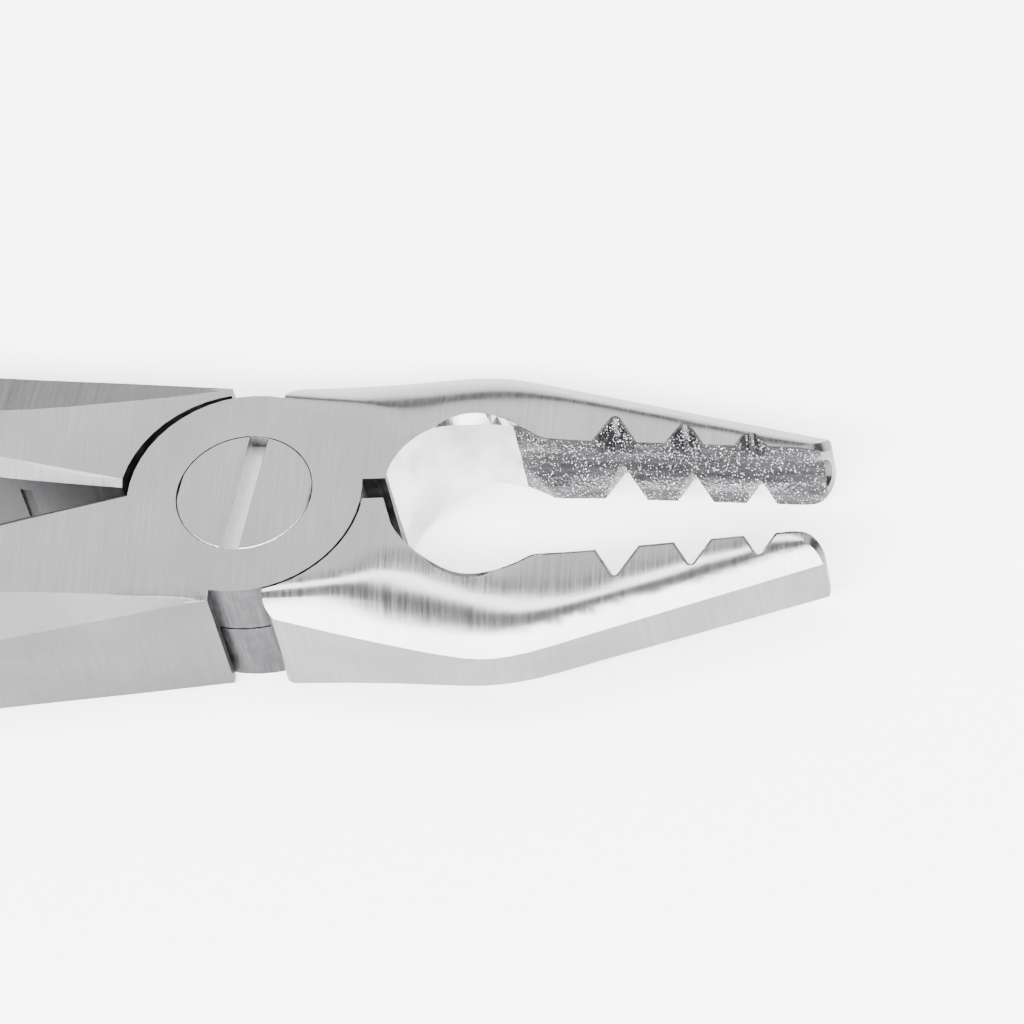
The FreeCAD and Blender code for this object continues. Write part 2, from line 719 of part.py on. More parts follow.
def stop_mark(name):
    """The milled mark on the inner side of the second handle, square to the X axis."""
    share = "(stop_mark_distance - lap_radius) / (neck_distance - lap_radius)"
    inner = f"handle_start_b + (neck_inner_b - handle_start_b) * {share}"
    return box(
        name,
        "stop_mark_width",
        "neck_outer",
        "joint_height",
        x="0 - stop_mark_distance - stop_mark_width / 2",
        y=f"0 - ({inner}) - stop_mark_depth",
        z="stop_mark_inset",
    )


def screw():
    """The joint's screw, turned in one piece, with a driver slot across its flush head."""
    body = doc.addObject("PartDesign::Body", "joint_screw")
    planes = {plane.Role: plane for plane in body.Origin.OriginFeatures}
    turning = body.newObject("Sketcher::SketchObject", "screw_profile")
    turning.AttachmentSupport = [(planes["XZ_Plane"], "")]
    turning.MapMode = "FlatFace"
    corners = [
        ("0", "0"),
        ("shank_radius", "0"),
        ("shank_radius", "joint_height - head_height"),
        ("head_radius", "joint_height - head_height"),
        ("head_radius", "joint_height"),
        ("0", "joint_height"),
    ]
    outline(turning, corners)
    revolution = body.newObject("PartDesign::Revolution", "turned_screw")
    revolution.Profile = turning
    revolution.ReferenceAxis = (turning, ["V_Axis"])
    slot = body.newObject("Sketcher::SketchObject", "slot_outline")
    slot.AttachmentSupport = [(planes["XY_Plane"], "")]
    slot.MapMode = "FlatFace"
    long_side = "head_radius + slot_width"
    outline(
        slot,
        [
            (f"0 - ({long_side})", "0 - slot_width / 2"),
            (long_side, "0 - slot_width / 2"),
            (long_side, "slot_width / 2"),
            (f"0 - ({long_side})", "slot_width / 2"),
        ],
    )
    bind(
        slot,
        AttachmentOffset__Base__z=named("joint_height"),
        AttachmentOffset__Rotation__Angle=named("slot_angle"),
    )
    pocket = body.newObject("PartDesign::Pocket", "driver_slot")
    pocket.Profile = slot
    bind(pocket, Length=named("slot_depth"))
    body.Tip = pocket
    doc.recompute()
    if not pocket.Shape.Volume < revolution.Shape.Volume:
        raise RuntimeError("the driver slot misses the screw's head")
    return body


def outline(sketch, corners):
    """A closed outline whose every corner is held by two formulas of the sheet's sizes."""
    start = len(sketch.Geometry)
    count = len(corners)
    for index in range(count):
        turned = math.radians(360 * index / count)
        following = math.radians(360 * (index + 1) / count)
        sketch.addGeometry(
            Part.LineSegment(
                Vector(math.cos(turned), math.sin(turned), 0),
                Vector(math.cos(following), math.sin(following), 0),
            )
        )
    for index in range(count):
        edge = start + index
        previous = start + (index - 1) % count
        sketch.addConstraint(Sketcher.Constraint("Coincident", previous, 2, edge, 1))
    for index, (across, up) in enumerate(corners):
        for kind, formula in (("DistanceX", across), ("DistanceY", up)):
            number = sketch.addConstraint(Sketcher.Constraint(kind, -1, 1, start + index, 1, 1.0))
            sketch.setExpression(f"Constraints[{number}]", named(formula))


def turned_over(thing):
    """Turn a piece of the second half over, about the X axis at the joint's middle height."""
    thing.Placement = Placement(Vector(0, 0, size("joint_height")), Rotation(Vector(1, 0, 0), 180))
    return thing


def check(pieces):
    """Stop with a message where a feature failed or a piece is not one closed solid."""
    for thing in doc.Objects:
        if "Invalid" in thing.State or "Error" in thing.State:
            raise RuntimeError(f"{thing.Name} could not be worked out: {thing.State}")
    for piece in pieces:
        shape = piece.Shape
        if shape.isNull() or not shape.isValid() or len(shape.Solids) != 1:
            raise RuntimeError(f"{piece.Label} is not one valid solid: {len(shape.Solids)}")
        if "half" in piece.Label and shape.BoundBox.XMax < size("coat_end"):
            raise RuntimeError(f"{piece.Label} has lost its jaw")


coating_a, forging_a = make_half("a", "upper_lap", size("handle_start_a"), size("neck_inner_a"))
coating_b, forging_b = make_half("b", "lower_lap", size("handle_start_b"), size("neck_inner_b"))
bore = cylinder("screw_bore", "shank_radius + screw_clearance", THROUGH, z=FOOT)
recess = cylinder(
    "screw_recess",
    "head_radius + screw_clearance",
    f"head_height + screw_clearance + {CLEAR}",
    z="joint_height - head_height - screw_clearance",
)
threaded = cylinder("threaded_bore", "shank_radius", THROUGH, z=FOOT)
half_a = cut("half_a", forging_a, fuse("screw_way_a", bore, recess))
half_b = cut("half_b", forging_b, fuse("screw_way_b", threaded, stop_mark("stop_mark")))
joint_screw = screw()
pieces = [half_a, half_b, joint_screw, coating_a, coating_b]
labels = ["half_a", "half_b", "joint_screw", "diamond_coating_a", "diamond_coating_b"]
for piece, label in zip(pieces, labels):
    piece.Label = label
turned_over(half_b)
turned_over(coating_b)
doc.recompute()
check(pieces)

os.makedirs("parts", exist_ok=True)
for piece in pieces:
    piece.Shape.exportStep(f"parts/{piece.Label}.step")
    print(piece.Label, len(piece.Shape.Faces), "faces", round(piece.Shape.Volume, 2), "mm3")
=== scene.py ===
"""Looks of a dental extraction forceps: satin and polished steel, plated grit and a slotted screw."""

import math

import bmesh
import bpy
import numpy as np
from mathutils import Euler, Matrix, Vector


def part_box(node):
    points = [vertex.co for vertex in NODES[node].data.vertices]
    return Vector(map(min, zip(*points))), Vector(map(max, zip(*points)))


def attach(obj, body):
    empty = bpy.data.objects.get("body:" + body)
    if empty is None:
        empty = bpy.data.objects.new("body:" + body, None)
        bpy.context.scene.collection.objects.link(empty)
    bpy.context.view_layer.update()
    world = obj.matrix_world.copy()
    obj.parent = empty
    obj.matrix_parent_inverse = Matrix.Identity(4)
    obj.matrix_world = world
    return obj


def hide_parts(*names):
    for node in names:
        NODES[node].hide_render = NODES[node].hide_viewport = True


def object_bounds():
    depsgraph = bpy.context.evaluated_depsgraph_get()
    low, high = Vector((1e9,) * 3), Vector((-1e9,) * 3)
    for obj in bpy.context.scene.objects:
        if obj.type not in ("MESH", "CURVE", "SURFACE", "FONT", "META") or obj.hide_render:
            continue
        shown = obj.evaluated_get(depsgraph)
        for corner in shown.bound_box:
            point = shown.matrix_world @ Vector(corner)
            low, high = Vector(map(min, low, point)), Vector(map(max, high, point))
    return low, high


bl_info = {
    "name": "Extraction Forceps Looks",
    "version": (1, 0, 0),
    "blender": (4, 5, 0),
    "location": "3D View > Sidebar > Forceps",
    "description": "Dresses the forceps in ground and polished steel, diamond grit and a slotted screw",
    "category": "Object",
}

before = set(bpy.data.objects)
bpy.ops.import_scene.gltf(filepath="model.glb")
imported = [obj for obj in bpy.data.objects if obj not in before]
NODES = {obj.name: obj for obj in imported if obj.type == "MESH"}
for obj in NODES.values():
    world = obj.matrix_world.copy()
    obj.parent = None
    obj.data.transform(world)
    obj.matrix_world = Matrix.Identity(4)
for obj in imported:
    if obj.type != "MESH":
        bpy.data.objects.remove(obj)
CAD_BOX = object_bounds()
MM = 0.001

FIRST = {"tag": "a", "body": "first_half", "beak_side": 1}
SECOND = {"tag": "b", "body": "second_half", "beak_side": -1}
HALVES = (FIRST, SECOND)
JAW_START = 1.9 * MM  # from the joint's axis to where the jaws begin

# Corners are softened slab by slab. Both sizes count widths of the bell curve.
SLAB = 0.5
BELL_REACH = 3.0

# The finishes of a half, in the order of its material slots. The last two are steel with painted shade.
FINE, POLISHED, MILLED, SIDE_SHADE, DEEP_SIDE_SHADE = range(5)

# Where the finishes meet, in millimetres from the joint's axis or from the middle plane.
LAP_WALL = 8.6
SHOULDER_END = 2.6
CROTCH_START = 2.0
CROTCH_END = 9.8
CROTCH_SIDE = 1.2
OPENING_START = 9.2
LIPS_END = 36.5
HANDLE_START = -1.5

# Parts of a face's unit normal that tell how it lies.
STEEP = 0.35  # a steep face's normal rises by less than this
LEVEL = 0.985  # a level face's normal rises by more than this
ENDWAYS = 0.8  # the end face of a shoulder looks along X by more than this
INWARDS = 0.25  # a wall that looks inwards has less than this outwards

# Degrees from level: plain satin colour up to the first, full painted shade on slopes from the second.
SLOPE_SHADE_SPAN = (9, 30)

# Spans that a noise really fills: lines, a product of two noises, milled marks, soft clouds.
NOISE_SPAN = (0.3, 0.7)
PRODUCT_SPAN = (0.1, 0.42)
MILLED_SPAN = (0.12, 0.36)
CLOUD_SPAN = (0.32, 0.62)

# Distances under which points of a mesh are one, in metres.
CAD_DOUBLES = 0.0005 * MM
CAD_SLIVERS = 0.0001 * MM
NEW_DOUBLES = 0.0001 * MM
NEW_SLIVERS = 0.00001 * MM

# A grain of diamond: corners of its ring, height of its points and spread of its size and depth,
# all as shares of the grain.
RING = 5
PEAK = 0.8
STRETCH = (0.4, 1.2)
SUNK = (-0.35, 0.1)
FACING = 0.25  # grains stand where the coating's unit normal looks inwards by more than this

# The screw under its head, and how finely its arcs, flats, chords and rounds are divided.
HEAD_HEIGHT = 1.8 * MM
SHANK_RADIUS = 2.6 * MM
SHANK_EDGE = 0.2 * MM
ARC_STEPS = 5
FLAT_STEPS = 24
CHORD_STEPS = 61
ROUND_STEPS = 97
SCREW_CRISP = math.radians(35)
HEAD_TOP = 0.9  # faces of the head's top have unit normals that rise by more than this

FLOOR_REACH = 1.5  # metres from the joint to the edge of the floor
FLOOR_STEPS = 9
FLOOR_GAP = 0.2 * MM

# Name, degrees from the horizon behind the forceps over the zenith, degrees round the upright
# axis, width and depth in metres at one metre away, and the setting that holds the radiance.
SOFTBOXES = (
    ("back_light", 40, 0, 1.6, 0.7, "back_light"),
    ("top_light", 83, 0, 2.2, 0.30, "top_light"),
    ("front_light", 131, 0, 1.4, 0.20, "front_light"),
    ("left_light", 35, 100, 0.8, 0.5, "side_light"),
    ("right_light", 35, -80, 0.8, 0.5, "side_light"),
)

# The camera of the photograph: a long lens, above and in front of the joint.
CAMERA_PLACE = (78.49 * MM, -214.15 * MM, 305.55 * MM)
CAMERA_TURN = (35.766, 8.720, 4.073)  # degrees about X, Y and Z
CAMERA_LENS = 201.15  # mm on the sensor's width
CAMERA_SENSOR = 36  # mm


def linear(colour):
    """An sRGB hex colour as linear red, green and blue."""
    parts = np.array([int(colour[start : start + 2], 16) / 255 for start in (1, 3, 5)])
    curved = ((parts + 0.055) / 1.055) ** 2.4
    return tuple(float(part) for part in np.where(parts <= 0.04045, parts / 12.92, curved))


def length(name, description, millimetres):
    """A length property of a property group, its default in millimetres."""
    return bpy.props.FloatProperty(
        name=name, description=description, default=millimetres * MM, unit="LENGTH", precision=6
    )


def colour(name, description, value):
    """A colour property of a property group, its default an sRGB hex colour."""
    return bpy.props.FloatVectorProperty(
        name=name, description=description, default=linear(value), subtype="COLOR", size=3
    )


def strength(name, description, value):
    """A strength of light as a property of a property group."""
    return bpy.props.FloatProperty(
        name=name, description=description, default=value, unit="NONE"
    )


class ForcepsSteel(bpy.types.PropertyGroup):
    """Colours and tool marks of the two steel halves."""

    satin: colour("Satin steel", "Flats that a fine belt has ground", "#A6A6A8")
    polished: colour("Polished steel", "Opening and lips after the polishing wheel", "#D8D8DA")
    # painted shade: the next two colours darken the steep sides and slopes in place of the shade they
    # would get
    painted_shade_side: colour("Jaw sides", "Also slopes of the handles, ground on a coarser belt", "#7C7C7E")
    painted_shade_deep: colour("Handle sides", "Also slopes of the jaws, ground coarser still", "#646466")
    milled: colour("Milled steel", "Faces inside the joint, left as the cutter made them", "#525254")
    belt_line: length("Belt line", "Width of one grinding line, across the forceps", 0.16)
    belt_run: length("Belt run", "Length of one grinding line", 5.0)
    cutter_line: length("Cutter line", "Width of one line that the milling cutter left", 0.22)
    cell: length("Cell", "Longest side of a jaw's faces, so that its shading can turn", 0.7)
    blur_along: length("Blur along", "Reach of the polishing wheel along the jaw", 1.1)
    blur_across: length("Blur across", "Reach of the polishing wheel across the jaw", 0.4)
    crisp_angle: bpy.props.FloatProperty(
        name="Crisp edge angle",
        description="Edges of joint and handles that turn by more than this stay sharp",
        default=math.radians(5),
        subtype="ANGLE",
    )
    soft_angle: bpy.props.FloatProperty(
        name="Soft edge angle",
        description="Edges flatter than this were rounded over by the polishing wheel",
        default=math.radians(35),
        subtype="ANGLE",
    )


class ForcepsGrit(bpy.types.PropertyGroup):
    """The diamond grains and the nickel that holds them."""

    nickel: colour("Nickel", "Electroplated nickel between the grains", "#58585A")
    diamond: colour("Diamond", "Grains of cut diamond", "#E4E6EA")
    grain: length("Grain", "Size of one grain of diamond", 0.11)
    grains: bpy.props.IntProperty(
        name="Grains per beak", description="How many grains stand on each beak", default=3400
    )
    seed: bpy.props.IntProperty(
        name="Scatter", description="Another number scatters the grains another way", default=7
    )


class ForcepsScrew(bpy.types.PropertyGroup):
    """Sizes of the joint's screw that the eye reads at its slot and rim."""

    slot_width: length("Slot width", "Screwdriver slot", 1.25)
    slot_depth: length("Slot depth", "Screwdriver slot", 1.1)
    slot_turn: bpy.props.FloatProperty(
        name="Slot turn",
        description="Direction of the slot from the X axis",
        default=math.radians(82.5),
        subtype="ANGLE",
    )
    edge: length("Broken edge", "Rounding of the head's rim and of the slot's edges", 0.07)


class ForcepsStage(bpy.types.PropertyGroup):
    """Floor and light of the studio."""

    floor: colour("Floor", "Plain pale table top", "#F4F4F4")
    floor_light: strength("Floor light", "Light of the table's sheet", 1.4)
    sky: strength("Sky", "Light from all round", 0.5)
    back_light: strength("Back light", "Radiance of the softbox behind the forceps", 2.2)
    top_light: strength("Top light", "Radiance of the softbox overhead", 13.0)
    front_light: strength("Front light", "Radiance of the softbox above the camera", 80.0)
    side_light: strength("Side light", "Radiance of the softbox on each side", 2.5)


def add(tree, kind, inputs=None, **settings):
    """Add a shader node: settings are its properties, inputs hold numbers or sockets to link."""
    made = tree.nodes.new(kind)
    for name, value in settings.items():
        setattr(made, name, value)
    for key, value in (inputs or {}).items():
        if isinstance(value, bpy.types.NodeSocket):
            tree.links.new(value, made.inputs[key])
        else:
            made.inputs[key].default_value = value
    return made


def metal(name, roughness, base=None):
    """A new metal with the usual IOR, as (material, node tree, surface shader)."""
    made = bpy.data.materials.new(name)
    made.use_nodes = True
    surface = made.node_tree.nodes["Principled BSDF"]
    surface.inputs["Metallic"].default_value = 1.0
    surface.inputs["Roughness"].default_value = roughness
    if base is not None:
        surface.inputs["Base Color"].default_value = (*base, 1)
    return made, made.node_tree, surface


def stretched_noise(tree, across, along, detail, turn=0.0):
    """Noise drawn out into lines along Y: across and along are a line's width and length."""
    place = add(tree, "ShaderNodeTexCoord")
    scaled = add(
        tree,
        "ShaderNodeMapping",
        {
            "Vector": place.outputs["Object"],
            "Rotation": (0, 0, turn),
            "Scale": (1 / across, 1 / along, 1 / along),
        },
    )
    lines = add(
        tree,
        "ShaderNodeTexNoise",
        {"Vector": scaled.outputs["Vector"], "Scale": 1.0, "Detail": detail},
    )
    return lines.outputs["Fac"]


def mapped(tree, value, low, high, start=0.0, end=1.0):
    """The value moved from the range start to end into the range low to high."""
    step = add(
        tree,
        "ShaderNodeMapRange",
        {"Value": value, "From Min": start, "From Max": end, "To Min": low, "To Max": high},
    )
    return step.outputs["Result"]


def shades(tree, value, dark, light):
    """A mix of two colours by a value."""
    mix = add(
        tree,
        "ShaderNodeMix",
        {"Factor": value, "A": (*dark, 1), "B": (*light, 1)},
        data_type="RGBA",
    )
    return mix.outputs["Result"]


def darker(base, share):
    """A colour held back to a share of its light."""
    return tuple(part * share for part in base)


def bumped(tree, surface, height, depth):
    """Raise the surface by a height pattern, depth in metres."""
    bump = add(tree, "ShaderNodeBump", {"Height": height, "Distance": depth, "Strength": 1.0})
    tree.links.new(bump.outputs["Normal"], surface.inputs["Normal"])


def slope(tree, start, end):
    """How far a face leans from level: 0 up to the first angle, 1 from the second, in degrees."""
    normal = add(tree, "ShaderNodeTexCoord").outputs["Normal"]
    upright = add(tree, "ShaderNodeSeparateXYZ", {"Vector": normal}).outputs["Z"]
    size = add(tree, "ShaderNodeMath", {0: upright}, operation="ABSOLUTE").outputs[0]
    low, high = math.cos(math.radians(end)), math.cos(math.radians(start))
    return mapped(tree, size, 1.0, 0.0, low, high)


def satin_stainless_steel(steel):
    """Martensitic stainless steel, ground on a fine belt across the instrument.

    Slopes are blended to a darker colour, which is painted shade.
    Slopes took a coarser belt, so they are darker and duller."""
    made, tree, surface = metal("satin_steel_painted_slope_shade", 0.3)
    lines = stretched_noise(tree, steel.belt_line, steel.belt_run, 3.0)
    cloud = stretched_noise(tree, 6 * MM, 9 * MM, 2.0)
    tone = add(tree, "ShaderNodeMath", {0: lines, 1: cloud}, operation="MULTIPLY").outputs[0]
    tone = mapped(tree, tone, 0.0, 1.0, *PRODUCT_SPAN)
    flat = shades(tree, tone, darker(steel.satin, 0.8), tuple(steel.satin))
    # Painted shade: slopes blend towards this darker colour.
    painted_slope_shade = shades(tree, tone, darker(steel.painted_shade_deep, 0.75), tuple(steel.painted_shade_deep))
    base = add(
        tree,
        "ShaderNodeMix",
        {"Factor": slope(tree, *SLOPE_SHADE_SPAN), "A": flat, "B": painted_slope_shade},
        data_type="RGBA",
    )
    tree.links.new(base.outputs["Result"], surface.inputs["Base Color"])
    tree.links.new(mapped(tree, lines, 0.19, 0.27, *NOISE_SPAN), surface.inputs["Roughness"])
    bumped(tree, surface, lines, 0.004 * MM)
    return made


def polished_stainless_steel(steel):
    """The same steel after a felt wheel: softer lines, so the reflections are nearly sharp."""
    made, tree, surface = metal("felt_polished_stainless_steel", 0.2)
    lines = stretched_noise(tree, steel.belt_line * 1.2, steel.belt_run, 2.0)
    cloud = stretched_noise(tree, 2.2 * MM, 3 * MM, 3.0)
    tone = mapped(tree, cloud, 0.0, 1.0, *CLOUD_SPAN)
    tree.links.new(
        shades(tree, tone, darker(steel.polished, 0.7), tuple(steel.polished)),
        surface.inputs["Base Color"],
    )
    tree.links.new(mapped(tree, lines, 0.15, 0.24, *NOISE_SPAN), surface.inputs["Roughness"])
    bumped(tree, surface, lines, 0.002 * MM)
    return made


def belt_lined_steel_painted_shade(name, steel, base):
    """Steep sides with coarse belt lines; their darker colour is painted shade."""
    made, tree, surface = metal(name, 0.38)
    lines = stretched_noise(tree, steel.belt_line * 1.4, steel.belt_run * 1.6, 3.0, math.radians(80))
    cloud = stretched_noise(tree, 7 * MM, 4 * MM, 3.0)
    tone = add(tree, "ShaderNodeMath", {0: lines, 1: cloud}, operation="MULTIPLY").outputs[0]
    tone = mapped(tree, tone, 0.0, 1.0, *PRODUCT_SPAN)
    tree.links.new(
        shades(tree, tone, darker(base, 0.72), tuple(base)),
        surface.inputs["Base Color"],
    )
    tree.links.new(mapped(tree, lines, 0.32, 0.44, *NOISE_SPAN), surface.inputs["Roughness"])
    bumped(tree, surface, lines, 0.004 * MM)
    return made


def milled_stainless_steel(steel):
    """Steel as the side of a milling cutter leaves it: darker, with coarse lines and stains."""
    made, tree, surface = metal("side_milled_stainless_steel", 0.42)
    lines = stretched_noise(tree, steel.cutter_line, 2.5 * MM, 4.0, math.radians(35))
    stains = stretched_noise(tree, 1.4 * MM, 1.1 * MM, 4.0)
    tone = add(tree, "ShaderNodeMath", {0: lines, 1: stains}, operation="MULTIPLY").outputs[0]
    tone = mapped(tree, tone, 0.0, 1.0, *MILLED_SPAN)
    tree.links.new(
        shades(tree, tone, darker(steel.milled, 0.5), tuple(steel.milled)),
        surface.inputs["Base Color"],
    )
    tree.links.new(mapped(tree, stains, 0.32, 0.52, *NOISE_SPAN), surface.inputs["Roughness"])
    bumped(tree, surface, lines, 0.02 * MM)
    return made


def plated_nickel(grit):
    """Nickel plated round the grains: matt, pitted, with faint ridges along the trough."""
    made, tree, surface = metal("electroplated_nickel_with_grit", 0.45)
    place = add(tree, "ShaderNodeTexCoord").outputs["Object"]
    pits = add(
        tree, "ShaderNodeTexVoronoi", {"Vector": place, "Scale": 0.6 / grit.grain}
    ).outputs["Distance"]
    ridges = add(
        tree,
        "ShaderNodeTexNoise",
        {
            "Vector": add(
                tree,
                "ShaderNodeMapping",
                {"Vector": place, "Scale": (1 / (7 * MM), 1 / (0.5 * MM), 1 / (0.5 * MM))},
            ).outputs["Vector"],
            "Scale": 1.0,
            "Detail": 2.0,
        },
    ).outputs["Fac"]
    tone = mapped(tree, ridges, 0.0, 1.0, 0.35, 0.65)
    tree.links.new(
        shades(tree, tone, darker(grit.nickel, 0.55), tuple(grit.nickel)),
        surface.inputs["Base Color"],
    )
    tree.links.new(mapped(tree, pits, 0.3, 0.6), surface.inputs["Roughness"])
    height = add(tree, "ShaderNodeMath", {0: pits, 1: ridges}, operation="ADD").outputs[0]
    bumped(tree, surface, height, 0.05 * MM)
    return made


def diamond_grain(grit):
    """Crushed diamond: clear, with flat faces and a high IOR, so single grains flash white."""
    made = bpy.data.materials.new("crushed_diamond")
    made.use_nodes = True
    surface = made.node_tree.nodes["Principled BSDF"]
    surface.inputs["Base Color"].default_value = (*grit.diamond, 1)
    surface.inputs["Roughness"].default_value = 0.05
    surface.inputs["IOR"].default_value = 2.42
    return made


def turned_screw_steel(steel):
    """The screw's slot and shank: turned bright, with fine rings and small burrs."""
    made, tree, surface = metal("turned_screw_steel", 0.3)
    marks = stretched_noise(tree, 0.12 * MM, 0.5 * MM, 4.0)
    tree.links.new(
        shades(tree, marks, darker(steel.polished, 0.75), tuple(steel.polished)),
        surface.inputs["Base Color"],
    )
    bumped(tree, surface, marks, 0.015 * MM)
    return made


def grid_faces(rows, columns):
    """Quads of a grid of points with the given rows and columns, as an array of indices."""
    corner = np.arange(rows * columns).reshape(rows, columns)
    loops = (corner[:-1, :-1], corner[1:, :-1], corner[1:, 1:], corner[:-1, 1:])
    return np.stack(loops, axis=-1).reshape(-1, 4)


def mesh_object(name, points, faces):
    """An object at the origin from whole arrays of points and faces, its doubles merged."""
    mesh = bpy.data.meshes.new(name)
    mesh.from_pydata(points.reshape(-1, 3).tolist(), [], faces.tolist())
    shape = bmesh.new()
    shape.from_mesh(mesh)
    bmesh.ops.remove_doubles(shape, verts=shape.verts, dist=NEW_DOUBLES)
    bmesh.ops.dissolve_degenerate(shape, dist=NEW_SLIVERS, edges=shape.edges)
    bmesh.ops.recalc_face_normals(shape, faces=shape.faces)
    shape.to_mesh(mesh)
    shape.free()
    made = bpy.data.objects.new(name, mesh)
    bpy.context.scene.collection.objects.link(made)
    return made


def cut_across(shape, axis, place):
    """Cut the faces of a bmesh that cross a plane square to an axis, ahead of the joint."""
    faces = [face for face in shape.faces if face.calc_center_median().x > JAW_START]
    edges = {edge for face in faces for edge in face.edges}
    middle = Vector((0, 0, 0))
    middle[axis] = place
    square = Vector((0, 0, 0))
    square[axis] = 1
    bmesh.ops.bisect_plane(
        shape, geom=[*shape.verts, *edges, *faces], plane_co=middle, plane_no=square
    )


def merged_copy(name, source, jaw_pitch=None):
    """A copy of a CAD node whose loose triangles are joined along their edges.

    With a pitch, planes square to X and Y cut the jaw into cells that narrow."""
    mesh = source.data.copy()
    mesh.name = name
    mesh.materials.clear()
    shape = bmesh.new()
    shape.from_mesh(mesh)
    bmesh.ops.remove_doubles(shape, verts=shape.verts, dist=CAD_DOUBLES)
    bmesh.ops.dissolve_degenerate(shape, dist=CAD_SLIVERS, edges=shape.edges)
    if jaw_pitch:
        for axis, first in ((0, JAW_START), (1, CAD_BOX[0][1])):
            for place in np.arange(first, CAD_BOX[1][axis], jaw_pitch):
                cut_across(shape, axis, place)
    shape.to_mesh(mesh)
    shape.free()
    made = bpy.data.objects.new(name, mesh)
    bpy.context.scene.collection.objects.link(made)
    return made


def read(items, name, width, kind=float):
    """One property of all items of a mesh as an array, a row each."""
    values = np.empty(len(items) * width, dtype=kind)
    items.foreach_get(name, values)
    return values.reshape(-1, width)


def face_arrays(mesh):
    """Centres and normals of a mesh's faces, one row each."""
    return read(mesh.polygons, "center", 3), read(mesh.polygons, "normal", 3)


def soften(mesh, steel):
    """Give the jaw's corners normals blurred as by a polishing wheel, and keep all others.

    A corner's normal is the sum of the normals of the faces round it that turn away from its
    own face by less than the soft angle, each times its area and a bell curve of its distance.
    The bell is wider along the jaw than across it."""
    centres, normals = face_arrays(mesh)
    areas = read(mesh.polygons, "area", 1)[:, 0]
    owner = np.repeat(np.arange(len(areas)), read(mesh.polygons, "loop_total", 1, np.int32)[:, 0])
    vertex = read(mesh.loops, "vertex_index", 1, np.int32)[:, 0]
    scale = np.array([1 / steel.blur_along, 1 / steel.blur_across, 1 / steel.blur_across])
    corners = read(mesh.vertices, "co", 3)[vertex] * scale
    centres = centres * scale
    made = read(mesh.corner_normals, "vector", 3)
    for start in np.arange(JAW_START * scale[0], corners[:, 0].max() + SLAB, SLAB):
        chosen = (corners[:, 0] >= start) & (corners[:, 0] < start + SLAB)
        near = np.abs(centres[:, 0] - start - SLAB / 2) < BELL_REACH
        gap = corners[chosen][:, None, :] - centres[near][None, :, :]
        bell = np.exp(-0.5 * (gap**2).sum(axis=2)) * areas[near]
        alike = normals[owner[chosen]] @ normals[near].T > math.cos(steel.soft_angle)
        blurred = (bell * alike) @ normals[near]
        made[chosen] = blurred / np.linalg.norm(blurred, axis=1)[:, None]
    mesh.normals_split_custom_set(made.tolist())


def steel_zones(mesh, beak_side):
    """Which finish each face of a half has.

    The walls of the round opening and of the lips were polished. Steep faces near the axis,
    behind the crotch and at the shoulders' ends were milled. The jaws' sides and the handles' slopes
    get a darker colour as painted shade, the handles' sides a deeper painted shade, and all else fine."""
    centres, normals = face_arrays(mesh)
    x, y = centres[:, 0] / MM, centres[:, 1] / MM * beak_side
    rise = np.abs(normals[:, 2])
    steep = rise < STEEP
    lap_wall = np.hypot(x, y) < LAP_WALL
    shoulder = (np.abs(x) < SHOULDER_END) & (np.abs(normals[:, 0]) > ENDWAYS)
    crotch = (x > CROTCH_START) & (x < CROTCH_END) & (y < CROTCH_SIDE)
    lips = (x > OPENING_START) & (x < LIPS_END) & (normals[:, 1] * beak_side < INWARDS)
    handle = x < HANDLE_START
    rules = (
        (steep & (lap_wall | shoulder | crotch), MILLED),
        (steep & lips, POLISHED),
        # Painted shade: steep sides and handle slopes take the two darker colours.
        (steep & handle, DEEP_SIDE_SHADE),
        (steep | (handle & (rise < LEVEL)), SIDE_SHADE),
    )
    return np.select(*zip(*rules), FINE).astype(np.int32)


def dress(piece, body, slot, *nodes):
    """Let a piece ride on its body and stand for CAD nodes. The slot is not used."""
    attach(piece, body)
    if nodes:
        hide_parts(*nodes)


class FORCEPS_OT_halves(bpy.types.Operator):
    """Dress both halves: ground flats and sides, polished opening walls and milled inner faces"""

    bl_idname = "forceps.halves"
    bl_label = "Steel Halves"

    def execute(self, context):
        steel = context.scene.forceps_steel
        finishes = (
            satin_stainless_steel(steel),
            polished_stainless_steel(steel),
            milled_stainless_steel(steel),
            # These two finishes carry painted shade on the sides and slopes.
            belt_lined_steel_painted_shade("jaw_sides_painted_shade", steel, steel.painted_shade_side),
            belt_lined_steel_painted_shade("handle_sides_deeper_painted_shade", steel, steel.painted_shade_deep),
        )
        for half in HALVES:
            source = NODES[f"half_{half['tag']}"]
            piece = merged_copy(f"forged_half_{half['tag']}", source, steel.cell)
            mesh = piece.data
            for finish in finishes:
                mesh.materials.append(finish)
            mesh.polygons.foreach_set("material_index", steel_zones(mesh, half["beak_side"]))
            mesh.shade_smooth()
            mesh.set_sharp_from_angle(angle=steel.crisp_angle)
            soften(mesh, steel)
            behind = np.flatnonzero(read(mesh.vertices, "co", 3)[:, 0] < JAW_START)
            group = piece.vertex_groups.new(name="joint_and_handle")
            group.add(behind.tolist(), 1.0, "REPLACE")
            weighted = piece.modifiers.new("weighted_normals", "WEIGHTED_NORMAL")
            weighted.keep_sharp = True
            weighted.vertex_group = group.name
            dress(piece, half["body"], "satin_steel", source.name)
        return {"FINISHED"}


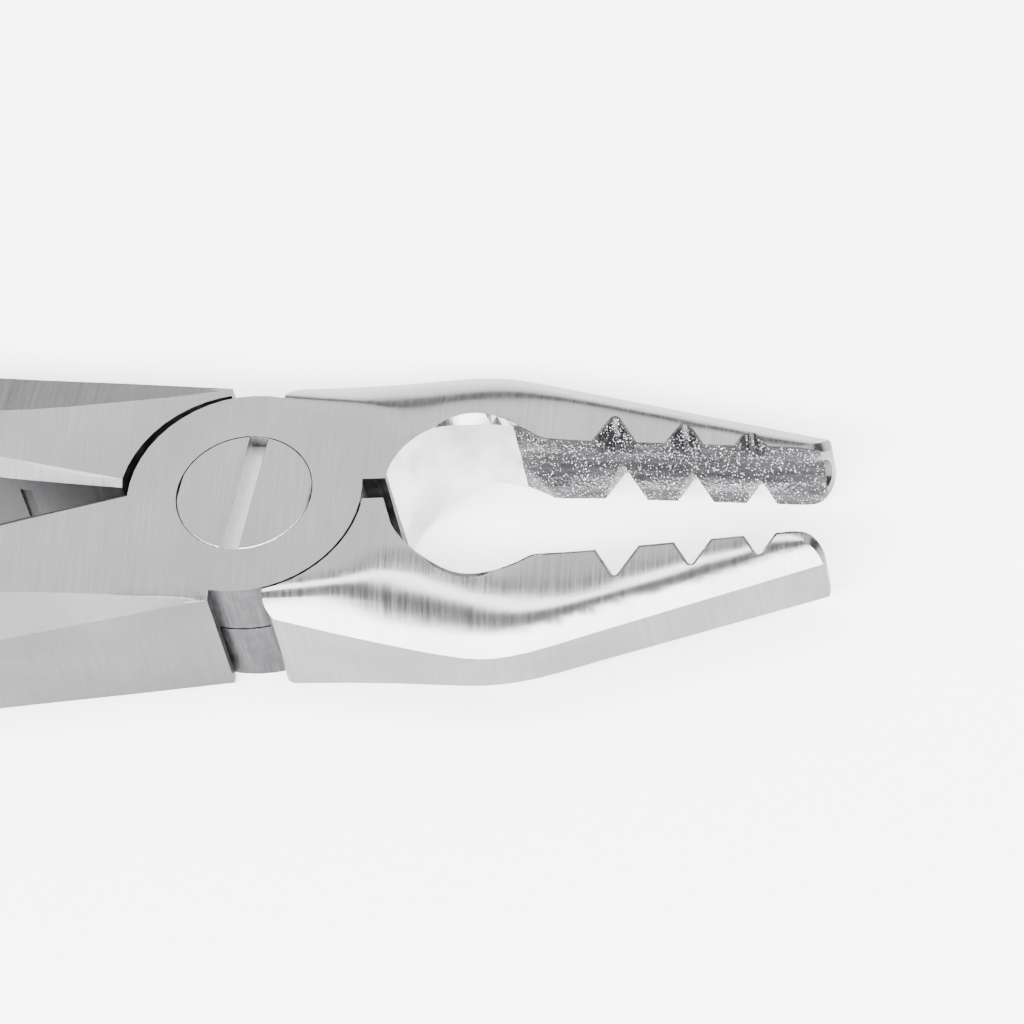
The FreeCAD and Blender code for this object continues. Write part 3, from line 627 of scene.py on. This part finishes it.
def exposed_points(mesh, inwards, count, random):
    """Random points on the coating's faces towards the other beak, spread evenly by area.

    inwards is 1 or -1, the way along Y that these faces look. A point is a corner-weighted mean
    of a triangle's corners, and triangles are drawn by area."""
    mesh.calc_loop_triangles()
    corners = np.empty(len(mesh.loop_triangles) * 3, dtype=np.int32)
    mesh.loop_triangles.foreach_get("vertices", corners)
    places = np.empty(len(mesh.vertices) * 3)
    mesh.vertices.foreach_get("co", places)
    triangles = places.reshape(-1, 3)[corners.reshape(-1, 3)]
    cross = np.cross(triangles[:, 1] - triangles[:, 0], triangles[:, 2] - triangles[:, 0])
    area = np.linalg.norm(cross, axis=1)
    normal = cross / np.maximum(area, 1e-18)[:, None]
    area = np.where(normal[:, 1] * inwards > FACING, area, 0)
    drawn = random.choice(len(area), size=count, p=area / area.sum())
    share = random.dirichlet((1, 1, 1), size=count)
    points = (triangles[drawn] * share[:, :, None]).sum(axis=1)
    return points, normal[drawn]


def random_turns(count, random):
    """Random rotation matrices from unit quaternions drawn evenly over the sphere."""
    drawn = random.normal(size=(4, count))
    w, x, y, z = drawn / np.linalg.norm(drawn, axis=0)
    rows = (
        (1 - 2 * (y * y + z * z), 2 * (x * y - z * w), 2 * (x * z + y * w)),
        (2 * (x * y + z * w), 1 - 2 * (x * x + z * z), 2 * (y * z - x * w)),
        (2 * (x * z - y * w), 2 * (y * z + x * w), 1 - 2 * (x * x + y * y)),
    )
    return np.moveaxis(np.array(rows), -1, 0)


def crystals(name, points, normals, grain, random):
    """Grains as squat pyramids back to back: a ring of corners between two points.

    Each is turned, stretched and sunk into the nickel by a random share of its size."""
    turn = np.linspace(0, 2 * np.pi, RING, endpoint=False)
    ring = np.column_stack([np.cos(turn), np.sin(turn), 0 * turn])
    unit = np.vstack([ring, [[0, 0, PEAK]], [[0, 0, -PEAK]]]) / 2
    corner = np.arange(RING)
    following = np.roll(corner, -1)
    upper = np.column_stack([corner, following, np.full(RING, RING)])
    lower = np.column_stack([following, corner, np.full(RING, RING + 1)])
    count = len(points)
    stretch = random.uniform(*STRETCH, size=(count, 1, 3)) * grain
    turned = np.einsum("nij,nkj->nki", random_turns(count, random), unit * stretch)
    sunk = normals * random.uniform(*SUNK, size=(count, 1)) * grain
    places = turned + (points + sunk)[:, None, :]
    faces = np.vstack([upper, lower])[None] + (np.arange(count) * len(unit))[:, None, None]
    mesh = bpy.data.meshes.new(name)
    mesh.from_pydata(places.reshape(-1, 3).tolist(), [], faces.reshape(-1, 3).tolist())
    made = bpy.data.objects.new(name, mesh)
    bpy.context.scene.collection.objects.link(made)
    return made


class FORCEPS_OT_grit(bpy.types.Operator):
    """Plate the gripping side of both beaks with nickel and stand diamond grains in it"""

    bl_idname = "forceps.grit"
    bl_label = "Diamond Grit"

    def execute(self, context):
        grit = context.scene.forceps_grit
        nickel = plated_nickel(grit)
        diamond = diamond_grain(grit)
        random = np.random.default_rng(grit.seed)
        for half in HALVES:
            source = NODES[f"diamond_coating_{half['tag']}"]
            layer = merged_copy(f"nickel_layer_{half['tag']}", source)
            layer.data.materials.append(nickel)
            dress(layer, half["body"], "diamond_grit", source.name)
            points, normals = exposed_points(
                layer.data, -half["beak_side"], grit.grains, random
            )
            grains = crystals(f"diamond_grains_{half['tag']}", points, normals, grit.grain, random)
            grains.data.materials.append(diamond)
            dress(grains, half["body"], "diamond_grit")
        return {"FINISHED"}


def slot_profile(half_width, depth, edge, reach):
    """Places across the head and how far each lies below the top: a slot with rounded edges.

    Both edges are quarter circles, the walls are upright and the floor is level."""
    quarter = np.linspace(0, np.pi / 2, ARC_STEPS)
    flat = np.linspace(-reach, -half_width - edge, FLAT_STEPS)
    across = np.concatenate([flat, -half_width - edge * (1 - np.sin(quarter[1:]))])
    below = np.concatenate([0 * flat, edge * (1 - np.cos(quarter[1:]))])
    floor = np.linspace(-half_width, 0, ARC_STEPS)
    across = np.concatenate([across, floor])
    below = np.concatenate([below, np.full(ARC_STEPS, depth)])
    return np.concatenate([across, -across[-2::-1]]), np.concatenate([below, below[-2::-1]])


def screw_head(low, high, radius, screw):
    """The slotted head: chords across the slot's profile, ending on the head's rim.

    A point at u across and t along lies at v = t times the half chord, the root of the radius
    squared less u squared. Near the rim the top falls off as a quarter circle."""
    u, below = slot_profile(screw.slot_width / 2, screw.slot_depth, screw.edge, radius)
    t = np.sin(np.linspace(-np.pi / 2, np.pi / 2, CHORD_STEPS))
    half_chord = np.sqrt(np.maximum(radius**2 - u**2, 0))
    across = np.broadcast_to(u[:, None], (len(u), len(t)))
    along = half_chord[:, None] * t[None, :]
    rim = np.clip(np.hypot(across, along) - (radius - screw.edge), 0, screw.edge)
    fall = screw.edge - np.sqrt(screw.edge**2 - rim**2)
    top = high - np.maximum(np.broadcast_to(below[:, None], across.shape), fall)
    turn = screw.slot_turn - np.pi / 2
    x = across * np.cos(turn) - along * np.sin(turn)
    y = across * np.sin(turn) + along * np.cos(turn)
    upper = np.stack([x, y, top], axis=-1)
    lower = np.stack([x, y, np.full_like(x, low)], axis=-1)
    walls = [np.stack([upper[:, side], lower[:, side]]) for side in (0, -1)]
    return [upper, lower, *walls]


def shank(low, high, radius, edge):
    """The shank as a profile turned about the axis: closed at both ends, its end rounded."""
    quarter = np.linspace(0, np.pi / 2, ARC_STEPS)
    out = np.concatenate([[0], radius - edge + edge * np.sin(quarter), [radius, 0]])
    up = np.concatenate([[low], low + edge * (1 - np.cos(quarter)), [high, high]])
    turn = np.linspace(0, 2 * np.pi, ROUND_STEPS)
    x = out[:, None] * np.cos(turn)
    y = out[:, None] * np.sin(turn)
    return [np.stack([x, y, np.broadcast_to(up[:, None], x.shape)], axis=-1)]


def joined(surfaces):
    """Points and faces of several grids of points as one pair of arrays."""
    points = np.concatenate([grid.reshape(-1, 3) for grid in surfaces])
    starts = np.cumsum([0] + [grid.shape[0] * grid.shape[1] for grid in surfaces[:-1]])
    faces = [grid_faces(*grid.shape[:2]) + start for grid, start in zip(surfaces, starts)]
    return points, np.concatenate(faces)


class FORCEPS_OT_screw(bpy.types.Operator):
    """Cut the joint's screw: a flush head with a slot and rounded edges, over its shank"""

    bl_idname = "forceps.screw"
    bl_label = "Joint Screw"

    def execute(self, context):
        screw = context.scene.forceps_screw
        steel = context.scene.forceps_steel
        low, high = (Vector(corner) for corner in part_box("joint_screw"))
        radius = (high.x - low.x) / 2
        head_low = high.z - HEAD_HEIGHT
        head = mesh_object("screw_head", *joined(screw_head(head_low, high.z, radius, screw)))
        head.data.materials.append(bpy.data.materials["satin_steel_painted_slope_shade"])
        head.data.materials.append(turned_screw_steel(steel))
        centres, normals = face_arrays(head.data)
        sunk = high.z - centres[:, 2] > screw.edge / 2
        inside = sunk | (np.abs(normals[:, 2]) < HEAD_TOP)
        head.data.polygons.foreach_set("material_index", inside.astype(np.int32))
        head.data.shade_smooth()
        head.data.set_sharp_from_angle(angle=SCREW_CRISP)
        dress(head, SECOND["body"], "screw_steel", "joint_screw")
        surfaces = shank(low.z, head_low, SHANK_RADIUS, SHANK_EDGE)
        rod = mesh_object("screw_shank", *joined(surfaces))
        rod.data.materials.append(head.data.materials[1])
        rod.data.shade_smooth()
        rod.data.set_sharp_from_angle(angle=SCREW_CRISP)
        dress(rod, SECOND["body"], "screw_steel")
        return {"FINISHED"}


def opal_acrylic(stage):
    """The lit opal sheet of a light table: an even pale floor without hard shadows."""
    made = bpy.data.materials.new("lit_opal_acrylic")
    made.use_nodes = True
    surface = made.node_tree.nodes["Principled BSDF"]
    surface.inputs["Base Color"].default_value = (*stage.floor, 1)
    surface.inputs["Roughness"].default_value = 0.6
    surface.inputs["Emission Color"].default_value = (*stage.floor, 1)
    surface.inputs["Emission Strength"].default_value = stage.floor_light
    return made


def softbox(name, height_angle, turn, width, depth, radiance):
    """A softbox one metre from the joint, square to it, that gives an even radiance.

    height_angle is its angle above the horizon behind the forceps, over the zenith to the front,
    and turn moves it round the upright axis. Both are in degrees. Its power is the radiance
    times pi times its area."""
    data = bpy.data.lights.new(name, "AREA")
    data.shape = "RECTANGLE"
    data.size = width
    data.size_y = depth
    data.energy = radiance * math.pi * width * depth
    made = bpy.data.objects.new(name, data)
    rise = math.radians(height_angle)
    place = Vector((0, math.cos(rise), math.sin(rise)))
    place.rotate(Euler((0, 0, math.radians(turn))))
    made.location = place
    made.rotation_euler = place.to_track_quat("Z", "Y").to_euler()
    bpy.context.scene.collection.objects.link(made)
    return made


class FORCEPS_OT_stage(bpy.types.Operator):
    """Set the pale floor, the soft light and the camera of the photograph"""

    bl_idname = "forceps.stage"
    bl_label = "Studio"

    def execute(self, context):
        stage = context.scene.forceps_stage
        edge = np.linspace(-FLOOR_REACH, FLOOR_REACH, FLOOR_STEPS)
        x, y = np.meshgrid(edge, edge, indexing="ij")
        below = np.full_like(x, CAD_BOX[0][2] - FLOOR_GAP)
        floor = mesh_object("floor", *joined([np.stack([x, y, below], axis=-1)]))
        if floor.data.polygons[0].normal.z < 0:
            floor.data.flip_normals()
        floor.data.materials.append(opal_acrylic(stage))
        world = bpy.data.worlds.new("white_studio")
        world.use_nodes = True
        world.node_tree.nodes["Background"].inputs["Strength"].default_value = stage.sky
        world.node_tree.nodes["Background"].inputs["Color"].default_value = (1, 1, 1, 1)
        context.scene.world = world
        for name, angle, turn, width, depth, setting in SOFTBOXES:
            softbox(name, angle, turn, width, depth, getattr(stage, setting))
        data = bpy.data.cameras.new("photo_camera")
        data.lens = CAMERA_LENS
        data.sensor_width = CAMERA_SENSOR
        data.clip_start = 10 * MM
        camera = bpy.data.objects.new("photo_camera", data)
        camera.location = CAMERA_PLACE
        camera.rotation_euler = Euler([math.radians(turn) for turn in CAMERA_TURN])
        context.scene.collection.objects.link(camera)
        context.scene.camera = camera
        return {"FINISHED"}


class FORCEPS_PT_panel(bpy.types.Panel):
    """Lists the pieces of the forceps and the studio"""

    bl_label = "Extraction Forceps"
    bl_space_type = "VIEW_3D"
    bl_region_type = "UI"
    bl_category = "Forceps"

    def draw(self, context):
        for operator, group in PARTS:
            box = self.layout.box()
            box.operator(operator.bl_idname)
            settings = getattr(context.scene, group)
            for name in settings.__annotations__:
                box.prop(settings, name)


GROUPS = {
    "forceps_steel": ForcepsSteel,
    "forceps_grit": ForcepsGrit,
    "forceps_screw": ForcepsScrew,
    "forceps_stage": ForcepsStage,
}
PARTS = (
    (FORCEPS_OT_halves, "forceps_steel"),
    (FORCEPS_OT_grit, "forceps_grit"),
    (FORCEPS_OT_screw, "forceps_screw"),
    (FORCEPS_OT_stage, "forceps_stage"),
)
CLASSES = (*GROUPS.values(), *(operator for operator, group in PARTS), FORCEPS_PT_panel)


def register():
    """Make the classes known and give the scene its settings."""
    for kind in CLASSES:
        bpy.utils.register_class(kind)
    for name, group in GROUPS.items():
        setattr(bpy.types.Scene, name, bpy.props.PointerProperty(type=group))


def unregister():
    """Take the settings and the classes away again."""
    for name in GROUPS:
        delattr(bpy.types.Scene, name)
    for kind in reversed(CLASSES):
        bpy.utils.unregister_class(kind)


def main():
    register()
    bpy.ops.forceps.halves()
    bpy.ops.forceps.grit()
    bpy.ops.forceps.screw()
    bpy.ops.forceps.stage()


if __name__ == "__main__":
    main()
